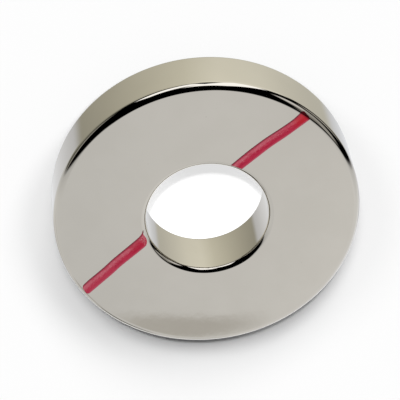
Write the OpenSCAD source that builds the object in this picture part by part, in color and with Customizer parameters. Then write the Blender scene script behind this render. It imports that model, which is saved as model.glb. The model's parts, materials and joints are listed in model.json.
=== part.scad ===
// Ring magnet: a flat sintered ring with a plain bore and four rounded edges.
// It lies on its back face. +Z runs along the bore axis, out of the marked front face,
// and the origin is the centre of the back face. A hand-drawn ink line crosses the front
// face along Y, on the +X side of the centre, and the bore parts it into two strokes.

/* [Ring] */
// Outside diameter
outer_d = 52; // [40:0.5:80]
// Bore diameter
bore_d = 20.8; // [10:0.2:30]
// Thickness, from the back face to the front face
thickness = 10; // [6:0.5:20]
// Radius that rounds the two outer edges
outer_edge_r = 1.2; // [0.3:0.1:2]
// Radius that rounds the two bore edges
bore_edge_r = 0.9; // [0.3:0.1:1.5]

/* [Ink line] */
// Width of the marker stroke
line_w = 2.1; // [1:0.1:3]
// Distance of the line from the centre, beside the bore
line_offset = 4.9; // [0:0.1:6]
// Angle by which each stroke sinks on its way out to the rim
line_droop = 2.4; // [0:0.1:5]
// Bare metal between the stroke on the +Y side and the bore's edge
inner_gap = 0.4; // [0:0.1:2]
// Bare metal between the stroke on the +Y side and the outer edge
outer_gap = 0.2; // [0:0.1:2]
// Thickness of the ink film
ink_t = 0.05; // [0.03:0.01:0.1]

/* [Hidden] */
outer_r = outer_d / 2;
bore_r = bore_d / 2;
// The flat part of a face lies between these two radii
flat_in = bore_r + bore_edge_r;
flat_out = outer_r - outer_edge_r;
wall_mid = (bore_r + outer_r) / 2;
$fn = 180;

// A pair of circles that round one side of the section, at the bottom and the top
module edge_circles(x, r) {
    for (z = [r, thickness - r])
        translate([x, z]) circle(r = r);
}

// Half of the ring's section, in the plane of radius and height
module section() {
    translate([flat_in, 0]) square([flat_out - flat_in, thickness]);
    translate([bore_r, bore_edge_r])
        square([wall_mid - bore_r, thickness - 2 * bore_edge_r]);
    translate([wall_mid, outer_edge_r])
        square([outer_r - wall_mid, thickness - 2 * outer_edge_r]);
    edge_circles(flat_in, bore_edge_r);
    edge_circles(flat_out, outer_edge_r);
}

module ring() {
    color([0.74, 0.72, 0.68])
        rotate_extrude() section();
}

// The flat band of the front face, drawn in by a gap at each edge
module face_band(gap_in, gap_out) {
    difference() {
        circle(r = flat_out - gap_out);
        circle(r = flat_in + gap_in);
    }
}

// One stroke, from beside the bore out towards the rim along +X, before it is turned
module stroke(gap_in, gap_out) {
    intersection() {
        face_band(gap_in, gap_out);
        translate([0, line_offset])
            rotate(-line_droop)
                translate([0, -line_w / 2]) square([outer_d, line_w]);
    }
}

module ink_line() {
    color([0.66, 0.18, 0.27])
        translate([0, 0, thickness])
            linear_extrude(ink_t)
                rotate(-90) {
                    stroke(0, 0);
                    mirror([1, 0]) stroke(inner_gap, outer_gap);
                }
}

ring();
ink_line();
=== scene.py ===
"""Looks of the ring magnet: bright nickel plating, a felt-tip line and what the plating mirrors."""

import json
import math
from collections import namedtuple

import bmesh
import bpy
from mathutils import Matrix, Vector


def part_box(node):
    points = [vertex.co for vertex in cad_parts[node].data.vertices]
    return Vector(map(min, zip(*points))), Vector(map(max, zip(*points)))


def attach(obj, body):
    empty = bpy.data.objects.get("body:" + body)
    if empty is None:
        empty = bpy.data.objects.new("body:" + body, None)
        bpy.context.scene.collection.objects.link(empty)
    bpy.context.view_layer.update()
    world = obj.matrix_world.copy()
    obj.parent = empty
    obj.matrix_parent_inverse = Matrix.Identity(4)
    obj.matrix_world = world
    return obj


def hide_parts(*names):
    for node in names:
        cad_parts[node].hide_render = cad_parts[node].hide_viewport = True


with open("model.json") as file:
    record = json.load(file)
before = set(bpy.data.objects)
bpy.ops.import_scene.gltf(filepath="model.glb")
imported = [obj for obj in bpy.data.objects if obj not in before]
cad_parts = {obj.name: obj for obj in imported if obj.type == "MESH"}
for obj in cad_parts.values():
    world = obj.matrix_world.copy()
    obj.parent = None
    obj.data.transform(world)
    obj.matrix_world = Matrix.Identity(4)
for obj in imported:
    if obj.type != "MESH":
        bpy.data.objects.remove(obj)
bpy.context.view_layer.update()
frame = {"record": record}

MM = 0.001

# ---- The ring's own sizes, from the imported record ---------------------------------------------

MOUNTS = {mount["name"]: mount["dims"] for mount in frame["record"]["mounts"]}
RING_LOW, RING_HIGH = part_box("ring")
THICKNESS = RING_HIGH.z - RING_LOW.z
OUTER_R = MOUNTS["rim"]["r_mm"] * MM
BORE_R = MOUNTS["bore"]["r_mm"] * MM
OUTER_EDGE_R = (THICKNESS - MOUNTS["rim"]["length_mm"] * MM) / 2
BORE_EDGE_R = (THICKNESS - MOUNTS["bore"]["length_mm"] * MM) / 2
FLAT_OUT = OUTER_R - OUTER_EDGE_R
FLAT_IN = BORE_R + BORE_EDGE_R
FRONT = RING_HIGH.z
MIDDLE = Vector((0, 0, THICKNESS / 2))

# ---- The camera's stand -----------------------------------------------------------------------

# Azimuth 0 looks along +Y. The line of sight comes down steeply on the marked face. The
# stand's numbers come from a fit to the ring's outlines in the photo.
AZIMUTH = math.radians(56.717)
ELEVATION = math.radians(56.814)
# The camera is turned nearly upside down, so that the near side of the rim is at the top.
ROLL = math.radians(170.661)
DISTANCE = 0.35579
# Lens and sensor are in millimetres
LENS = 187.8
# Where the line of sight crosses the ring's middle plane: across it, and towards the camera
AIM_ACROSS = -0.78 * MM
AIM_NEAR = 0.65 * MM
SENSOR = 36
NEAREST_SEEN = 0.01
FURTHEST_SEEN = 20

# Horizontal directions: NEAR points from the ring to the camera, SIDE is the picture's right.
NEAR = Vector((math.sin(AZIMUTH), -math.cos(AZIMUTH), 0))
SIDE = Vector((-math.cos(AZIMUTH), -math.sin(AZIMUTH), 0))
AXIS = Vector((0, 0, 1))


def add(name, data):
    """A new object in the scene."""
    made = bpy.data.objects.new(name, data)
    bpy.context.scene.collection.objects.link(made)
    return made


def make_camera():
    back = NEAR * math.cos(ELEVATION) + AXIS * math.sin(ELEVATION)
    level = -SIDE
    upright = back.cross(level)
    right = level * math.cos(ROLL) + upright * math.sin(ROLL)
    up = back.cross(right)
    aim = MIDDLE + SIDE * AIM_ACROSS + NEAR * AIM_NEAR
    data = bpy.data.cameras.new("camera")
    data.lens = LENS
    data.sensor_width = SENSOR
    data.clip_start = NEAREST_SEEN
    data.clip_end = FURTHEST_SEEN
    camera = add("camera", data)
    turned = Matrix((right, up, back)).transposed().to_4x4()
    camera.matrix_world = Matrix.Translation(aim + back * DISTANCE) @ turned
    bpy.context.scene.camera = camera


# ---- Node trees -------------------------------------------------------------------------------


def node(tree, kind, **settings):
    made = tree.nodes.new("ShaderNode" + kind)
    for name, value in settings.items():
        setattr(made, name, value)
    return made


def feed(tree, socket, value):
    """Links value into a socket, or sets it there if it is a plain number or colour."""
    if isinstance(value, bpy.types.NodeSocket):
        tree.links.new(value, socket)
    else:
        socket.default_value = value


def new_material(name):
    """A new material with an empty node tree."""
    material = bpy.data.materials.new(name)
    material.use_nodes = True
    material.node_tree.nodes.clear()
    return material


def surface(tree, shader):
    """Makes the shader the material's surface."""
    tree.links.new(shader, node(tree, "OutputMaterial").inputs["Surface"])


def math_node(tree, operation, *values):
    made = node(tree, "Math", operation=operation)
    for socket, value in zip(made.inputs, values):
        feed(tree, socket, value)
    return made.outputs[0]


def rgb(r, g, b):
    return (r, g, b, 1)


def over(tree, value, edge, blur):
    """1 where value is over edge, 0 where it is under, and smooth across blur."""
    above = math_node(tree, "DIVIDE", math_node(tree, "SUBTRACT", value, edge), blur)
    made = node(tree, "MapRange", interpolation_type="SMOOTHSTEP")
    tree.links.new(above, made.inputs["Value"])
    made.inputs["From Min"].default_value = -0.5
    made.inputs["From Max"].default_value = 0.5
    return made.outputs["Result"]


def between(tree, value, low, high, blur):
    return math_node(tree, "SUBTRACT", over(tree, value, low, blur), over(tree, value, high, blur))


def mix(tree, under, colour, mask, how="MIX"):
    made = node(tree, "Mix", data_type="RGBA", blend_type=how, clamp_result=False)
    feed(tree, made.inputs[0], mask)
    feed(tree, made.inputs[6], under)
    feed(tree, made.inputs[7], colour)
    return made.outputs[2]


def times(tree, a, b):
    return math_node(tree, "MULTIPLY", a, b)


def stretched_noise(tree, place, along, across, detail):
    """Noise that is finer across than along."""
    spread = node(tree, "Mapping")
    tree.links.new(place, spread.inputs["Vector"])
    spread.inputs["Scale"].default_value = (along, across, 1)
    made = node(tree, "TexNoise")
    tree.links.new(spread.outputs[0], made.inputs["Vector"])
    made.inputs["Scale"].default_value = 1
    made.inputs["Detail"].default_value = detail
    return made.outputs["Fac"]


def round_noise(tree, place, size, detail):
    made = node(tree, "TexNoise")
    tree.links.new(place, made.inputs["Vector"])
    made.inputs["Scale"].default_value = 1 / size
    made.inputs["Detail"].default_value = detail
    return made.outputs["Fac"]


# ---- The ring ---------------------------------------------------------------------------------

TURNS = 720
# The plating's own detail
CLOUD_SIZE = 7 * MM
GRAIN_SIZE = 0.5 * MM
RIPPLE_SIZE = 2.5 * MM
RIPPLE_DEPTH = 0.004 * MM
SPECK_SPACING = 2.2 * MM
# A speck's radius as a share of the spacing, and the share of possible specks that is left out
SPECK_SIZE = 0.04
SPECKS_LEFT_OUT = 0.7
NICKEL = (0.665, 0.635, 0.575)
CLOUDED_NICKEL = (0.65, 0.62, 0.56)
SPECK_COLOUR = (0.56, 0.53, 0.48)
SPECK_STRENGTH = 0.6
ROUGHNESS = 0.025
GRAIN_ROUGHNESS = 0.02
SPECK_ROUGHNESS = 0.15


def corner(centre_r, centre_z, radius, start, steps):
    """A quarter circle of the section, from an angle in degrees, turning left."""
    for i in range(steps + 1):
        angle = math.radians(start + 90 * i / steps)
        yield (centre_r + radius * math.cos(angle), centre_z + radius * math.sin(angle))


def section():
    """The ring's closed section as (radius, height), counter-clockwise."""
    low, high = RING_LOW.z, FRONT
    points = []
    points += corner(FLAT_OUT, low + OUTER_EDGE_R, OUTER_EDGE_R, 270, 24)
    points += corner(FLAT_OUT, high - OUTER_EDGE_R, OUTER_EDGE_R, 0, 32)
    points += corner(FLAT_IN, high - BORE_EDGE_R, BORE_EDGE_R, 90, 24)
    points += corner(FLAT_IN, low + BORE_EDGE_R, BORE_EDGE_R, 180, 18)
    return points


def make_ring(material):
    profile = section()
    count = len(profile)
    verts = []
    for turn in range(TURNS):
        angle = 2 * math.pi * turn / TURNS
        for r, z in profile:
            verts.append((r * math.cos(angle), r * math.sin(angle), z))
    faces = []
    for turn in range(TURNS):
        this, after = turn * count, (turn + 1) % TURNS * count
        for i in range(count):
            j = (i + 1) % count
            faces.append((this + i, after + i, after + j, this + j))
    mesh = bpy.data.meshes.new("plated_ring")
    mesh.from_pydata(verts, [], faces)
    mesh.shade_smooth()
    mesh.materials.append(material)
    ring = add("plated_ring", mesh)
    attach(ring, "root")
    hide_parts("ring")
    return ring


def chosen_specks(tree, place):
    """1 on a few pin-sized specks, 0 elsewhere."""
    speck = node(tree, "TexVoronoi")
    tree.links.new(place, speck.inputs["Vector"])
    speck.inputs["Scale"].default_value = 1 / SPECK_SPACING
    near_speck = math_node(tree, "LESS_THAN", speck.outputs["Distance"], SPECK_SIZE)
    chosen = node(tree, "SeparateColor")
    tree.links.new(speck.outputs["Color"], chosen.inputs[0])
    return times(tree, near_speck, math_node(tree, "GREATER_THAN", chosen.outputs[0], SPECKS_LEFT_OUT))


def nickel():
    """Bright plating: a faint ripple, cloudy gloss and a few pin-sized specks."""
    material = new_material("nickel_plate")
    tree = material.node_tree
    place = node(tree, "TexCoord").outputs["Object"]
    cloud = round_noise(tree, place, CLOUD_SIZE, 4)
    grain = round_noise(tree, place, GRAIN_SIZE, 3)
    specks = chosen_specks(tree, place)

    shader = node(tree, "BsdfPrincipled")
    tint = mix(tree, rgb(*NICKEL), rgb(*CLOUDED_NICKEL), over(tree, cloud, 0.5, 0.3))
    tint = mix(tree, tint, rgb(*SPECK_COLOUR), times(tree, specks, SPECK_STRENGTH))
    tree.links.new(tint, shader.inputs["Base Color"])
    shader.inputs["Metallic"].default_value = 1
    gloss = over(tree, grain, 0.55, 0.4)
    gloss = math_node(tree, "MULTIPLY_ADD", gloss, GRAIN_ROUGHNESS, ROUGHNESS)
    gloss = math_node(tree, "MULTIPLY_ADD", specks, SPECK_ROUGHNESS, gloss)
    tree.links.new(gloss, shader.inputs["Roughness"])
    ripple = node(tree, "Bump")
    ripple.inputs["Strength"].default_value = 1
    ripple.inputs["Distance"].default_value = RIPPLE_DEPTH
    tree.links.new(round_noise(tree, place, RIPPLE_SIZE, 2), ripple.inputs["Height"])
    tree.links.new(ripple.outputs["Normal"], shader.inputs["Normal"])
    surface(tree, shader.outputs[0])
    return material


# ---- The ink line -----------------------------------------------------------------------------

# The line's own coordinates are in millimetres on the front face: the place along the line, from
# the centre towards the picture's right (-Y), and the place across it, from the centre (+X).
# A place past the flat of the face is measured round the rounded edge.
# The edges are (along, across) points, and the ends are (share of the width, along) points.
# They were read off the photo's stroke, from its brightness across the line.
RIGHT_STROKE = {
    "top": (
        (9.5, 5.28), (13, 5.37), (15.5, 5.33), (17.5, 5.23), (20, 4.98), (22.5, 4.8), (24, 4.88),
        (26, 5.14),
    ),
    "bottom": ((9.5, 3.4), (14, 3.37), (17, 3.32), (20, 3.07), (23, 2.94), (26, 2.84)),
    "start": ((0, 10.51), (0.5, 10.11), (1, 9.66)),
    "end": ((0, 24.9), (0.3, 25.12), (0.55, 25.08), (0.8, 25.15), (1, 24.8)),
}
LEFT_STROKE = {
    "top": (
        (-26, 4.4), (-24.6, 4.65), (-23, 4.82), (-21, 4.87), (-19, 4.96), (-17, 5.12), (-13, 5.22),
        (-11, 5.3), (-10.1, 5.5), (-9.5, 5.85),
    ),
    "bottom": (
        (-26, 2.6), (-24.6, 2.7), (-23, 2.76), (-21, 2.84), (-19, 2.92), (-17, 3.08), (-13, 3.13),
        (-11.2, 3.2), (-9.5, 3.62),
    ),
    "start": ((0, -24.7), (0.15, -25.05), (0.35, -25.02), (0.6, -24.9), (0.85, -24.72), (1, -24.3)),
    "end": ((0, -11.06), (0.15, -10.5), (0.4, -10.15), (0.75, -9.96), (0.93, -9.84), (1, -9.36)),
}
INK_T = 0.02 * MM
INK_ALONG = 320
INK_ACROSS = 40
INK_METALLIC = 0.92
INK_ROUGHNESS = 0.06
FIBRE_ROUGHNESS = 0.1

BODY_INK = (0.55, 0.034, 0.078)
# Each layer of ink over the body: its colour and how strongly it shows. Two are painted light, not ink:
# a painted highlight streak and a painted dark reflection past the face.
LAYERS = {
    "fibres": ((0.44, 0.02, 0.055), 1),
    "thin": ((0.56, 0.065, 0.11), 0.6),
    # a lighter streak painted as a highlight along the line
    "painted_highlight_streak": ((0.6, 0.13, 0.175), 0.9),
    "dry": ((0.72, 0.31, 0.33), 0.5),
    "wet": ((0.38, 0.012, 0.04), 0.6),
    "outer_end": ((0.56, 0.022, 0.03), 0.8),
    "bore_end": ((0.48, 0.018, 0.045), 0.5),
    "specks": ((0.72, 0.4, 0.42), 0.55),
    "upper_rim": ((0.3, 0.045, 0.07), 0.9),
    "lower_rim": ((0.54, 0.12, 0.17), 0.85),
    # painted dark reflection where the line runs over the rounded edge
    "painted_edge_reflection": ((0.1, 0.004, 0.01), 1),
}
# Stretches along the line, in millimetres: from, to and blur
OUTER_END = (22.5, 26, 3)
BORE_END = (-13.5, -10.4, 1.2)
SPECKS_END = (-11.2, -9.8, 0.4)
# The ink is thin up to the first of these places, and painted dark past the second, as a painted
# reflection over the rounded edge: place and blur
THIN_UP_TO = (-17, 8)
PAINTED_REFLECTION_FROM = (24.75, 0.9)
# Bands across the line, as shares of its width: from, to and blur
# The first band is a painted highlight along the line, not ink
PAINTED_HIGHLIGHT_BAND = (0.54, 0.86, 0.2)
DRY_BAND = (0.42, 0.9, 0.1)
WET_BAND = (0.1, 0.55, 0.15)
OUTER_END_BAND = (0.1, 0.9, 0.2)
BORE_END_BAND = (0.05, 0.9, 0.2)
# The rims: how far across they begin or end, and blur
UPPER_RIM = (0.87, 0.12)
LOWER_RIM_END = 0.09
LOWER_RIM_BLUR = 0.2


def smooth(points, x):
    """The height at x of a smooth line through the points (a Catmull-Rom spline)."""
    last = len(points) - 1
    i = max(0, min(last - 1, sum(1 for px, _ in points if px <= x) - 1))
    (x0, y0), (x1, y1) = points[i], points[i + 1]
    before, after = points[max(i - 1, 0)], points[min(i + 2, last)]
    slope0 = (y1 - before[1]) / (x1 - before[0])
    slope1 = (after[1] - y0) / (after[0] - x0)
    width = x1 - x0
    t = max(0, min(1, (x - x0) / width))
    bend0 = t * (1 - t) ** 2 * width * slope0
    bend1 = t * t * (1 - t) * width * slope1
    return y0 + (y1 - y0) * t * t * (3 - 2 * t) + bend0 - bend1


def on_face(along, across, lift):
    """The point that lies lift over the front face or over the rounded edges next to it."""
    reach = math.hypot(along, across) * MM
    out = Vector((across, -along, 0)).normalized()
    if reach > FLAT_OUT:
        flat, radius, way = FLAT_OUT, OUTER_EDGE_R, 1
    else:
        flat, radius, way = FLAT_IN, BORE_EDGE_R, -1
    angle = max(0, (reach - flat) * way) / radius
    if angle == 0:
        return out * reach + AXIS * (FRONT + lift)
    spot = out * (flat + way * (radius + lift) * math.sin(angle))
    return spot + AXIS * (FRONT - radius + (radius + lift) * math.cos(angle))


def stroke_rows(stroke):
    """Rows of points round the film's section, each with its place along and across the stroke."""
    for i in range(INK_ALONG + 1):
        row = []
        for side, lift in ((1, INK_T), (-1, -INK_T)):
            for j in range(INK_ACROSS + 1)[::side]:
                share = j / INK_ACROSS
                start, end = smooth(stroke["start"], share), smooth(stroke["end"], share)
                along = start + (end - start) * i / INK_ALONG
                low, high = smooth(stroke["bottom"], along), smooth(stroke["top"], along)
                across = low + (high - low) * share
                row.append((on_face(along, across, lift), (along, share)))
        yield row


def make_stroke(name, stroke, material):
    rows = list(stroke_rows(stroke))
    count = len(rows[0])
    verts = [spot for row in rows for spot, _ in row]
    places = [place for row in rows for _, place in row]
    faces = [tuple(range(count))[::-1], tuple(range(INK_ALONG * count, (INK_ALONG + 1) * count))]
    for i in range(INK_ALONG):
        for j in range(count):
            k = (j + 1) % count
            faces.append((i * count + j, i * count + k, (i + 1) * count + k, (i + 1) * count + j))
    mesh = bpy.data.meshes.new(name)
    mesh.from_pydata(verts, [], faces)
    layer = mesh.uv_layers.new(name="stroke")
    for loop in mesh.loops:
        layer.data[loop.index].uv = places[loop.vertex_index]
    mesh.shade_smooth()
    mesh.materials.append(material)
    film = add(name, mesh)
    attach(film, "root")
    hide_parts("ink_line")


def layer(tree, under, name, mask):
    """Lays one of the ink's layers over a colour, where the mask is."""
    colour, strength = LAYERS[name]
    return mix(tree, under, rgb(*colour), times(tree, mask, strength))


def uneven_ink(tree, colour, along, share, spread, fibre):
    """What the felt tip did on the way: fibres, a thinner upper third, dry and wet dashes. A lighter
    streak along the line is a painted highlight.
    """
    patch = stretched_noise(tree, spread, 0.35, 2.5, 2)
    fleck = stretched_noise(tree, spread, 2, 20, 2)
    colour = layer(tree, colour, "fibres", over(tree, fibre, 0.52, 0.25))
    thin = math_node(tree, "SUBTRACT", 1, over(tree, along, *THIN_UP_TO))
    colour = layer(tree, colour, "thin", thin)
    # Painted highlight: a lighter streak along the line
    painted_highlight_streak = times(tree, between(tree, share, *PAINTED_HIGHLIGHT_BAND), over(tree, patch, 0.42, 0.35))
    colour = layer(tree, colour, "painted_highlight_streak", painted_highlight_streak)
    dry = times(tree, between(tree, share, *DRY_BAND), over(tree, fleck, 0.6, 0.12))
    colour = layer(tree, colour, "dry", dry)
    wet = times(tree, between(tree, share, *WET_BAND), over(tree, 0.4, fleck, 0.12))
    return layer(tree, colour, "wet", wet)


def ink_ends(tree, colour, along, share, spread):
    """More ink where the tip was set down and lifted, with bare specks by the bore."""
    fine = stretched_noise(tree, spread, 6, 12, 1)
    outer_band = between(tree, share, *OUTER_END_BAND)
    colour = layer(tree, colour, "outer_end", times(tree, between(tree, along, *OUTER_END), outer_band))
    bore_band = between(tree, share, *BORE_END_BAND)
    colour = layer(tree, colour, "bore_end", times(tree, between(tree, along, *BORE_END), bore_band))
    specks = times(tree, between(tree, along, *SPECKS_END), over(tree, fine, 0.56, 0.1))
    return layer(tree, colour, "specks", specks)


def ink_rims(tree, colour, along, share):
    """A dark rim along the upper edge, a thin one along the lower edge, and a painted dark reflection
    past the face.
    """
    colour = layer(tree, colour, "upper_rim", over(tree, share, *UPPER_RIM))
    lower_rim = over(tree, LOWER_RIM_END, share, LOWER_RIM_BLUR)
    colour = layer(tree, colour, "lower_rim", lower_rim)
    # Painted dark reflection over the rounded edge, past the flat of the face
    return layer(tree, colour, "painted_edge_reflection", over(tree, along, *PAINTED_REFLECTION_FROM))


def red_ink():
    material = new_material("red_ink")
    tree = material.node_tree
    spread = node(tree, "UVMap", uv_map="stroke").outputs["UV"]
    parts = node(tree, "SeparateXYZ")
    tree.links.new(spread, parts.inputs[0])
    along, share = parts.outputs[0], parts.outputs[1]
    fibre = stretched_noise(tree, spread, 0.5, 16, 3)
    colour = uneven_ink(tree, rgb(*BODY_INK), along, share, spread, fibre)
    colour = ink_ends(tree, colour, along, share, spread)
    colour = ink_rims(tree, colour, along, share)

    shader = node(tree, "BsdfPrincipled")
    tree.links.new(colour, shader.inputs["Base Color"])
    shader.inputs["Metallic"].default_value = INK_METALLIC
    gloss = math_node(tree, "MULTIPLY_ADD", fibre, FIBRE_ROUGHNESS, INK_ROUGHNESS)
    tree.links.new(gloss, shader.inputs["Roughness"])
    surface(tree, shader.outputs[0])
    return material


# ---- The studio -------------------------------------------------------------------------------

WORLD_LIGHT = 0.05
FLOOR_REACH = 3
FLOOR_COLOUR = (0.88, 0.88, 0.88)
FLOOR_LIFT = 0.012
# The floor seen through the bore is lifted towards white, a painted pool of light that takes out
# the ring's shadow there: by how much, and the width over which the lift fades out under the
# bore's wall
HOLE_LIFT = 0.7
HOLE_BLUR = 1 * MM


def seen_rays(tree):
    """1 for rays that show the surroundings: straight to the camera, mirrored or passed through."""
    path = node(tree, "LightPath")
    seen = math_node(tree, "MAXIMUM", path.outputs["Is Camera Ray"], path.outputs["Is Glossy Ray"])
    return math_node(tree, "MAXIMUM", seen, path.outputs["Is Transmission Ray"])


def floor_lift(tree):
    """How much the floor glows for rays that show it: a little, and more inside the bore, where the
    glow is painted light over the ring's shadow.
    """
    reach = node(tree, "VectorMath", operation="LENGTH")
    tree.links.new(node(tree, "NewGeometry").outputs["Position"], reach.inputs[0])
    # Painted light: the glow inside the bore hides the ring's shadow on the floor there
    outside = over(tree, reach.outputs["Value"], BORE_R + HOLE_BLUR / 2, HOLE_BLUR)
    level = math_node(tree, "MULTIPLY_ADD", outside, -HOLE_LIFT, HOLE_LIFT + FLOOR_LIFT)
    return times(tree, seen_rays(tree), level)


def make_floor():
    size = FLOOR_REACH
    mesh = bpy.data.meshes.new("floor")
    corners = [(-size, -size, 0), (size, -size, 0), (size, size, 0), (-size, size, 0)]
    mesh.from_pydata(corners, [], [(0, 1, 2, 3)])
    floor = add("floor", mesh)
    floor.visible_glossy = False
    material = new_material("floor")
    tree = material.node_tree
    diffuse = node(tree, "BsdfDiffuse")
    diffuse.inputs["Color"].default_value = rgb(*FLOOR_COLOUR)
    lift = node(tree, "Emission")
    lift.inputs["Color"].default_value = rgb(1, 1, 1)
    tree.links.new(floor_lift(tree), lift.inputs["Strength"])
    both = node(tree, "AddShader")
    tree.links.new(diffuse.outputs[0], both.inputs[0])
    tree.links.new(lift.outputs[0], both.inputs[1])
    surface(tree, both.outputs[0])
    mesh.materials.append(material)


# The tent is a dome that only mirror reflections see. Its places are given as seen from the
# ring, in degrees: height is 90 towards the camera's side of the table (NEAR) and -90 away
# from it, and heading is 0 straight out of the marked face, growing towards SIDE.
# Most of the heights, colours, ovals and rectangles below began as readings from a scratch
# program that worked out from the photo what the ring mirrors. They were then changed.
TENT_R = 0.5

# Height of the pale table's far edge, by heading
TABLE_EDGE = (
    (-180, -20), (-147, -3), (-135, 3), (-100, 3.5), (-60, 2), (-45, -1), (-30, -6), (-15, -13),
    (0, -23), (10, -19), (35, -15), (55, -19), (110, -19), (130, -16), (147, -16.5), (180, -22),
)
EDGE_BLUR = 7
# The table is dimmer near that edge, but not straight out of the face: from, to and blur
FAR_DIMMING = 0.78
FAR_REACH = 20
UNDIMMED = (-20, 6, 12)
# Light of the backdrop behind the ring, by heading
BACKDROP = (
    (-180, (0.72, 0.70, 0.59)), (-150, (0.55, 0.53, 0.44)), (-130, (0.45, 0.44, 0.37)),
    (-117, (0.31, 0.30, 0.25)), (-104, (0.15, 0.15, 0.12)), (-92, (0, 0, 0)),
    (122, (0, 0, 0)), (128, (0.85, 0.83, 0.74)), (140, (0.90, 0.88, 0.79)),
    (152, (0.93, 0.91, 0.80)), (165, (0.88, 0.86, 0.75)), (180, (0.72, 0.70, 0.59)),
)
# How the backdrop dims downwards, by height
BACKDROP_FADE = ((-90, 0.62), (-16, 0.64), (5, 0.78), (25, 0.95), (40, 1.05), (90, 1))
# Light of the table, by heading
TABLE = (
    (-180, (0.85, 0.86, 0.88)), (-165, (0.82, 0.83, 0.85)), (-150, (0.80, 0.81, 0.84)),
    (-120, (0.82, 0.83, 0.84)), (-90, (0.79, 0.795, 0.80)), (-50, (0.745, 0.75, 0.755)),
    (-6, (0.735, 0.74, 0.75)), (8, (0.83, 0.83, 0.835)), (80, (0.86, 0.87, 0.89)),
    (140, (0.90, 0.92, 0.97)), (165, (0.88, 0.90, 0.94)), (180, (0.85, 0.86, 0.88)),
)
# Soft ovals of light and shade: centre, half width and half height, lean (how far the heading
# shifts for each degree of height), blur of the edge, and light
ROOM_OVALS = (
    ((60, 12), (16, 22), 0.35, 0.35, (0.42, 0.41, 0.39)),
    ((63, 25), (9, 10), 0.2, 0.8, (0.80, 0.79, 0.79)),
    ((42, 1), (9, 5), 1.0, 0.8, (0.24, 0.23, 0.21)),
    ((101, 9), (6.5, 15), -0.25, 0.5, (0.52, 0.50, 0.46)),
    ((-85, 24), (8, 22), 0.1, 0.4, (0.35, 0.34, 0.31)),
)
TABLE_OVALS = (
    ((-118, -42), (9, 18), 0, 1.0, (0.55, 0.54, 0.54)),
    ((-80, -30), (4, 13), 0, 1.0, (0.60, 0.59, 0.59)),
    ((-58, -51), (18, 5), 0, 1.0, (0.50, 0.49, 0.49)),
    ((104, -50), (16, 20), 0, 1.2, (1.02, 1.04, 1.1)),
    ((134, -38), (12, 6), 0, 1.0, (0.52, 0.53, 0.58)),
    ((180, -54), (34, 12), 0, 0.5, (1.45, 1.45, 1.47)),
    ((-67, -66), (22, 8), 0, 0.5, (0.12, 0.12, 0.11)),
    ((-2.7, -38.7), (4.2, 1.1), -1.6, 1.0, (0.57, 0.56, 0.54)),
)
# Rectangles of light and shade overhead, on a level ceiling one unit above the ring: the corners
# as (towards SIDE, out of the face), how far the rectangle is turned in degrees, and its blur
LEFT_LAMP = ((-0.57, -0.13), (0.115, 0.345), -21, 0.04)
RIGHT_LAMP = ((0.25, -0.63), (0.83, 0.56), 28, 0.05)
GAP = ((-0.8, -0.28), (0.1, -0.1), 0, 0.06)
LEANING_GAP = ((-0.02, -0.36), (0.24, 0.03), 28, 0.06)
SHELF = ((-0.06, -12), (0.34, -0.3), 53, 0.08)

LAMP_LIGHT = (1.46, 1.46, 1.48)
SHELF_LIGHT = (0.97, 0.95, 0.86)
GAP_LIGHT = (0, 0, 0)
# What lies overhead, each over the one before
OVERHEAD = (
    (SHELF, SHELF_LIGHT),
    (RIGHT_LAMP, LAMP_LIGHT),
    (LEANING_GAP, GAP_LIGHT),
    (GAP, GAP_LIGHT),
    (LEFT_LAMP, LAMP_LIGHT),
)
# The ceiling begins at this height
CEILING_FROM = 25
CEILING_BLUR = 8
# The least share of the way that a direction must rise towards NEAR to be placed on the ceiling
LEAST_RISE = 0.05

Place = namedtuple("Place", "heading height ceiling_side ceiling_front")


def curve(tree, value, points, low, high):
    """A smooth line through points (value, height), the heights between low and high."""
    made = node(tree, "FloatCurve")
    line = made.mapping.curves[0]
    first, last = points[0][0], points[-1][0]
    spread = [((x - first) / (last - first), (y - low) / (high - low)) for x, y in points]
    line.points[0].location = spread[0]
    line.points[1].location = spread[-1]
    for spot in spread[1:-1]:
        line.points.new(*spot)
    for point in line.points:
        point.handle_type = "AUTO_CLAMPED"
    made.mapping.update()
    step = 1 / (last - first)
    place = math_node(tree, "MULTIPLY_ADD", value, step, -first * step)
    tree.links.new(place, made.inputs["Value"])
    return math_node(tree, "MULTIPLY_ADD", made.outputs[0], high - low, low)


def ramp(tree, heading, stops):
    """A colour that changes evenly between headings."""
    made = node(tree, "ValToRGB")
    elements = made.color_ramp.elements
    while len(elements) < len(stops):
        elements.new(0.5)
    for element, (x, colour) in zip(elements, stops):
        element.position = (x + 180) / 360
        element.color = rgb(*colour)
    place = math_node(tree, "MULTIPLY_ADD", heading, 1 / 360, 0.5)
    tree.links.new(place, made.inputs[0])
    return made.outputs[0]


def oval(tree, place, centre, size, lean, blur):
    """Mask of an oval patch, soft across blur of its own size."""
    rise = math_node(tree, "SUBTRACT", place.height, centre[1])
    across = math_node(tree, "SUBTRACT", place.heading, centre[0])
    across = math_node(tree, "WRAP", across, 180, -180)
    across = math_node(tree, "MULTIPLY_ADD", rise, -lean, across)
    across = math_node(tree, "DIVIDE", across, size[0])
    rise = math_node(tree, "DIVIDE", rise, size[1])
    reach = math_node(tree, "ADD", times(tree, across, across), times(tree, rise, rise))
    reach = math_node(tree, "POWER", reach, 0.5)
    return math_node(tree, "SUBTRACT", 1, over(tree, reach, 1, blur))


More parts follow.
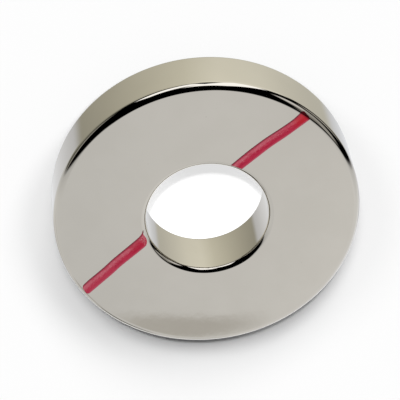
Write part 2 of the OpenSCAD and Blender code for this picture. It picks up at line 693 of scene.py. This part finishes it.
def panel(tree, place, corners):
    """Mask of a rectangle on the ceiling."""
    low, high, turn, blur = corners
    level, steep = math.cos(math.radians(turn)), math.sin(math.radians(turn))
    ceiling_side, ceiling_front = place.ceiling_side, place.ceiling_front
    side = times(tree, ceiling_front, steep)
    side = math_node(tree, "MULTIPLY_ADD", ceiling_side, level, side)
    front = times(tree, ceiling_front, level)
    front = math_node(tree, "MULTIPLY_ADD", ceiling_side, -steep, front)
    across = between(tree, side, low[0], high[0], blur)
    along = between(tree, front, low[1], high[1], blur)
    return times(tree, across, along)


def ovals(tree, place, light, patches):
    for centre, size, lean, blur, colour in patches:
        light = mix(tree, light, rgb(*colour), oval(tree, place, centre, size, lean, blur))
    return light


def tent_place(tree):
    """Where on the tent the light comes from."""
    position = node(tree, "NewGeometry").outputs["Position"]
    parts = []
    for axis in (SIDE, NEAR, AXIS):
        dot = node(tree, "VectorMath", operation="DOT_PRODUCT")
        tree.links.new(position, dot.inputs[0])
        dot.inputs[1].default_value = axis / TENT_R
        parts.append(dot.outputs["Value"])
    side, near, front = parts
    height = math_node(tree, "DEGREES", math_node(tree, "ARCSINE", near))
    heading = math_node(tree, "DEGREES", math_node(tree, "ARCTAN2", side, front))
    level = math_node(tree, "MAXIMUM", near, LEAST_RISE)
    ceiling_side = math_node(tree, "DIVIDE", side, level)
    ceiling_front = math_node(tree, "DIVIDE", front, level)
    return Place(heading, height, ceiling_side, ceiling_front)


def room_light(tree, place):
    """The light of the room above the table: backdrop, ovals and what hangs overhead."""
    light = ramp(tree, place.heading, BACKDROP)
    fade = curve(tree, place.height, BACKDROP_FADE, 0, 2)
    light = mix(tree, light, fade, 1, "MULTIPLY")
    light = ovals(tree, place, light, ROOM_OVALS)
    overhead = over(tree, place.height, CEILING_FROM, CEILING_BLUR)
    for corners, colour in OVERHEAD:
        light = mix(tree, light, rgb(*colour), times(tree, panel(tree, place, corners), overhead))
    return light


def table_light(tree, place, depth):
    """The table's light, at a depth in degrees below its far edge."""
    cloth = ovals(tree, place, ramp(tree, place.heading, TABLE), TABLE_OVALS)
    far = math_node(tree, "SUBTRACT", 1, over(tree, depth, FAR_REACH / 2 - 1, FAR_REACH))
    far = times(tree, far, math_node(tree, "SUBTRACT", 1, between(tree, place.heading, *UNDIMMED)))
    dimming = math_node(tree, "MULTIPLY_ADD", far, FAR_DIMMING - 1, 1)
    return mix(tree, cloth, dimming, 1, "MULTIPLY")


def tent_light(tree):
    place = tent_place(tree)
    edge = curve(tree, place.heading, TABLE_EDGE, -90, 90)
    depth = math_node(tree, "SUBTRACT", edge, place.height)
    cloth = table_light(tree, place, depth)
    return mix(tree, room_light(tree, place), cloth, over(tree, depth, 0, EDGE_BLUR))


def make_tent():
    mesh = bpy.data.meshes.new("tent")
    dome = bmesh.new()
    bmesh.ops.create_icosphere(dome, subdivisions=6, radius=TENT_R)
    dome.to_mesh(mesh)
    dome.free()
    tent = add("tent", mesh)
    for ray in ("camera", "diffuse", "transmission", "volume_scatter", "shadow"):
        setattr(tent, "visible_" + ray, False)
    material = new_material("tent")
    tree = material.node_tree
    glow = node(tree, "Emission")
    tree.links.new(tent_light(tree), glow.inputs["Color"])
    # Dark to light that has met the floor, so that the ring throws no glints on it
    scattered = node(tree, "LightPath").outputs["Diffuse Depth"]
    tree.links.new(math_node(tree, "LESS_THAN", scattered, 0.5), glow.inputs["Strength"])
    surface(tree, glow.outputs[0])
    material.cycles.emission_sampling = "NONE"
    mesh.materials.append(material)


def make_world():
    world = bpy.data.worlds.new("world")
    bpy.context.scene.world = world
    world.use_nodes = True
    tree = world.node_tree
    tree.nodes.clear()
    strength = node(tree, "MapRange")
    tree.links.new(seen_rays(tree), strength.inputs["Value"])
    strength.inputs["To Min"].default_value = WORLD_LIGHT
    strength.inputs["To Max"].default_value = 1
    sky = node(tree, "Background")
    sky.inputs["Color"].default_value = rgb(1, 1, 1)
    tree.links.new(strength.outputs["Result"], sky.inputs["Strength"])
    out = node(tree, "OutputWorld")
    tree.links.new(sky.outputs[0], out.inputs["Surface"])


# The broad lamps: name, strength, how far each stands towards NEAR and SIDE for each unit of
# height, and how broad it is in degrees. The front face's shadow falls as far the other way. The
# low one draws the thin dark line along the ring's lower edge, and the two at the sides draw the
# faint wings beside it. The numbers come from a fit to the photo's shadow, then trimmed.
SUNS = (
    ("low", 0.93, 0.83, 0, 2),
    ("key", 1.8, 1.0, 0, 14),
    ("soft", 1.07, 1.7, 0.4, 20),
    ("right", 0.85, 0.9, 0.8, 20),
    ("left", 0.45, 1.15, -0.8, 20),
)


def make_sun(name, strength, toward, angle):
    """A broad lamp far away. toward points from the ring to it."""
    data = bpy.data.lights.new(name, "SUN")
    data.energy = strength
    data.angle = math.radians(angle)
    lamp = add(name, data)
    lamp.rotation_euler = toward.to_track_quat("Z", "Y").to_euler()
    lamp.visible_glossy = False


def make_lamps():
    for name, strength, near, side, angle in SUNS:
        make_sun(name, strength, AXIS + NEAR * near + SIDE * side, angle)


make_camera()
make_ring(nickel())
ink = red_ink()
make_stroke("ink_stroke_right", RIGHT_STROKE, ink)
make_stroke("ink_stroke_left", LEFT_STROKE, ink)
make_floor()
make_tent()
make_world()
make_lamps()
bpy.context.scene.view_settings.view_transform = "Standard"
